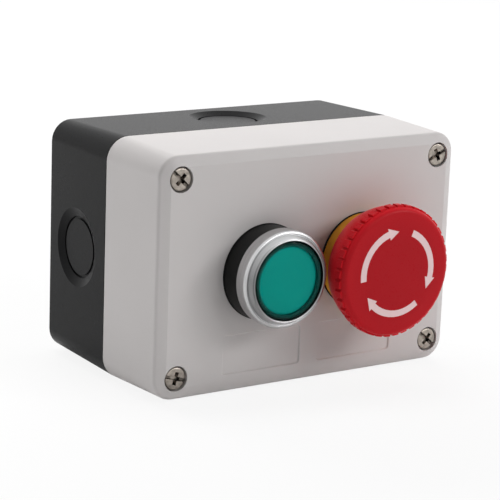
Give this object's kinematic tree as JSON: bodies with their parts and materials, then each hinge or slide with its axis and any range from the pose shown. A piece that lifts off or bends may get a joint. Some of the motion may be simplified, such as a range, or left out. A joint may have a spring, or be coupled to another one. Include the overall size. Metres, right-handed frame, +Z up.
{
  "type": "two-button control box",
  "caption": "Wall-mount control box with a flush start button, a latching twist-release mushroom stop button and a contact block behind each.",
  "frame": {"origin": "middle of the four wall screw holes, on the rear mounting plane", "axes": "+X across the box to the right as the user sees it, +Y out of the back towards the wall, +Z up; the buttons face -Y"},
  "size_m": [0.106, 0.0833, 0.0728],
  "materials": {
    "black_plastic": "satin",
    "grey_plastic": "satin",
    "rubber": "matte",
    "nickel_steel": "satin",
    "brass": "satin",
    "bezel_metal": "satin",
    "green_lens": "satin",
    "green_plastic": "satin",
    "ivory_plastic": "satin",
    "red_plastic": "satin",
    "white_plastic": "satin",
    "yellow_plastic": "satin",
    "stem_steel": "satin",
    "spring_steel": "satin",
    "lamp_glass": "polished"
  },
  "bodies": {
    "enclosure": {"rear_base": "black_plastic", "front_cover": "grey_plastic", "cover_seal": "rubber", "cover_screws": "nickel_steel", "base_inserts": "brass", "start_bezel": "bezel_metal", "start_body": "black_plastic", "start_gasket": "rubber", "start_return_spring": "spring_steel", "start_lock_nut": "black_plastic", "start_carrier": "black_plastic", "start_lamp_case": "black_plastic", "start_lamp": "lamp_glass", "start_lamp_screws": "nickel_steel", "stop_collar": "yellow_plastic", "stop_gasket": "rubber", "stop_body": "black_plastic", "stop_return_spring": "spring_steel", "stop_latch_clip": "spring_steel", "stop_lock_nut": "black_plastic", "stop_carrier": "black_plastic", "start_contact_case": "black_plastic", "start_contact_lid": "black_plastic", "start_contact_return_spring": "spring_steel", "start_fixed_contacts": "brass", "start_terminal_screws": "nickel_steel", "start_wire_clamps": "brass", "stop_contact_case": "black_plastic", "stop_contact_lid": "black_plastic", "stop_contact_return_spring": "spring_steel", "stop_fixed_contacts": "brass", "stop_terminal_screws": "nickel_steel", "stop_wire_clamps": "brass"},
    "start_button": {"start_lens": "green_lens", "start_diffuser": "green_plastic", "start_plunger": "black_plastic", "start_pusher_plate": "ivory_plastic"},
    "start_contact": {"start_contact_plunger": "green_plastic", "start_contact_bridge": "brass", "start_contact_spring": "spring_steel"},
    "stop_slider": {"stop_pusher": "ivory_plastic"},
    "stop_button": {"stop_head": "red_plastic", "stop_arrows": "white_plastic", "stop_stem": "stem_steel"},
    "stop_contact": {"stop_contact_plunger": "red_plastic", "stop_contact_bridge": "brass", "stop_contact_spring": "spring_steel"}
  },
  "joints": [
    {"name": "start_press", "type": "slide", "parent": "enclosure", "child": "start_button", "axis": [0, 1, 0], "range_m": [0, 0.0035], "stiffness_N_per_m": 600, "springref_m": -0.006, "deforming": ["start_return_spring"]},
    {"name": "start_contact_press", "type": "slide", "parent": "enclosure", "child": "start_contact", "axis": [0, 1, 0], "range_m": [0, 0.0035], "deforming": ["start_contact_return_spring"]},
    {"name": "stop_press", "type": "slide", "parent": "enclosure", "child": "stop_slider", "axis": [0, 1, 0], "range_m": [0, 0.0045], "deforming": ["stop_return_spring", "stop_latch_clip"]},
    {"name": "stop_twist", "type": "hinge", "parent": "stop_slider", "child": "stop_button", "pos_m": [0.018, -0.0647, -0.0005], "axis": [0, 1, 0], "range_deg": [0, 40], "stiffness_Nm_per_rad": 0.1, "springref_deg": -11.46},
    {"name": "stop_contact_press", "type": "slide", "parent": "enclosure", "child": "stop_contact", "axis": [0, 1, 0], "range_m": [0, 0.0045], "deforming": ["stop_contact_return_spring"]}
  ],
  "couplings": [
    {"joint": "start_contact_press", "follows": "start_press", "ratio": 1},
    {"joint": "stop_contact_press", "follows": "stop_press", "ratio": 1}
  ]
}
